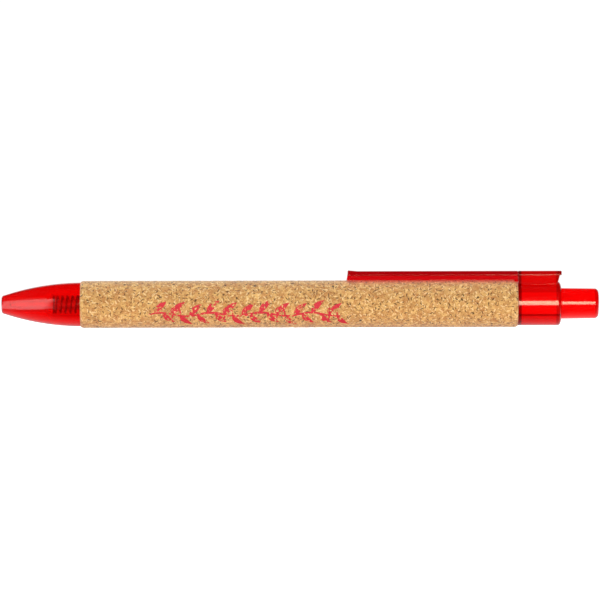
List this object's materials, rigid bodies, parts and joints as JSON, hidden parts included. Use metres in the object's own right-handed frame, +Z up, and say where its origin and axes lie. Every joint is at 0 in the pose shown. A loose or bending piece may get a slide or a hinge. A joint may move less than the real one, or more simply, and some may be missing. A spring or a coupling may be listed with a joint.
{
  "type": "ballpoint pen",
  "caption": "Retractable ballpoint pen with a cork-wrapped paper barrel, translucent red nose cone, cap, pocket clip and push button, and a working click mechanism.",
  "frame": {"origin": "midway along the pen's length, on its middle plane, level with the underside of the barrel", "axes": "+X from the nose to the push button, +Z up through the clip, +Y across the pen"},
  "size_m": [0.14, 0.011, 0.0134],
  "materials": {
    "cork": "fine cork granules with dark specks, matt",
    "kraft_paper": "spiral-wound kraft paper",
    "red_translucent_plastic": "glossy, see-through red",
    "white_plastic": "moulded acetal, satin",
    "spring_steel": "drawn wire",
    "clear_plastic": "milky, see-through",
    "brass": "turned, bright",
    "ball_steel": "polished carbide",
    "ink": "black-blue paste",
    "grease": "clear yellowish grease"
  },
  "bodies": {
    "barrel": {"cork_wrap": "cork", "paper_tube": "kraft_paper", "rear_cap": "red_translucent_plastic", "return_spring": "spring_steel"},
    "nose": {"nose_cone": "red_translucent_plastic"},
    "button": {"push_button": "red_translucent_plastic"},
    "rotor": {"cam_rotor": "white_plastic"},
    "refill": {"refill_tube": "clear_plastic", "refill_tip": "brass", "ink_column": "ink", "grease_plug": "grease"},
    "ball": {"writing_ball": "ball_steel"},
    "clip_arm": {"clip": "red_translucent_plastic"}
  },
  "joints": [
    {"name": "button_press", "type": "slide", "parent": "barrel", "child": "button", "axis": [-1, 0, 0], "range_m": [0, 0.0062], "stiffness_N_per_m": 300, "springref_m": -0.004},
    {"name": "rotor_advance", "type": "slide", "parent": "barrel", "child": "rotor", "axis": [-1, 0, 0], "range_m": [0, 0.0062]},
    {"name": "refill_advance", "type": "slide", "parent": "barrel", "child": "refill", "axis": [-1, 0, 0], "range_m": [0, 0.0062], "deforming": ["return_spring"]},
    {"name": "ball_roll", "type": "hinge", "parent": "refill", "child": "ball", "pos_m": [-0.0673, 0, 0.00555], "axis": [0, 1, 0], "continuous": true},
    {"name": "nose_pull", "type": "slide", "parent": "barrel", "child": "nose", "axis": [-1, 0, 0], "range_m": [0, 0.03]},
    {"name": "clip_flex", "type": "hinge", "parent": "barrel", "child": "clip_arm", "pos_m": [0.0513, 0, 0.0132], "axis": [0, 1, 0], "range_deg": [0, 4], "stiffness_Nm_per_rad": 1.5}
  ],
  "couplings": [
    {"joint": "rotor_advance", "follows": "button_press", "ratio": 1},
    {"joint": "refill_advance", "follows": "button_press", "ratio": 1}
  ]
}
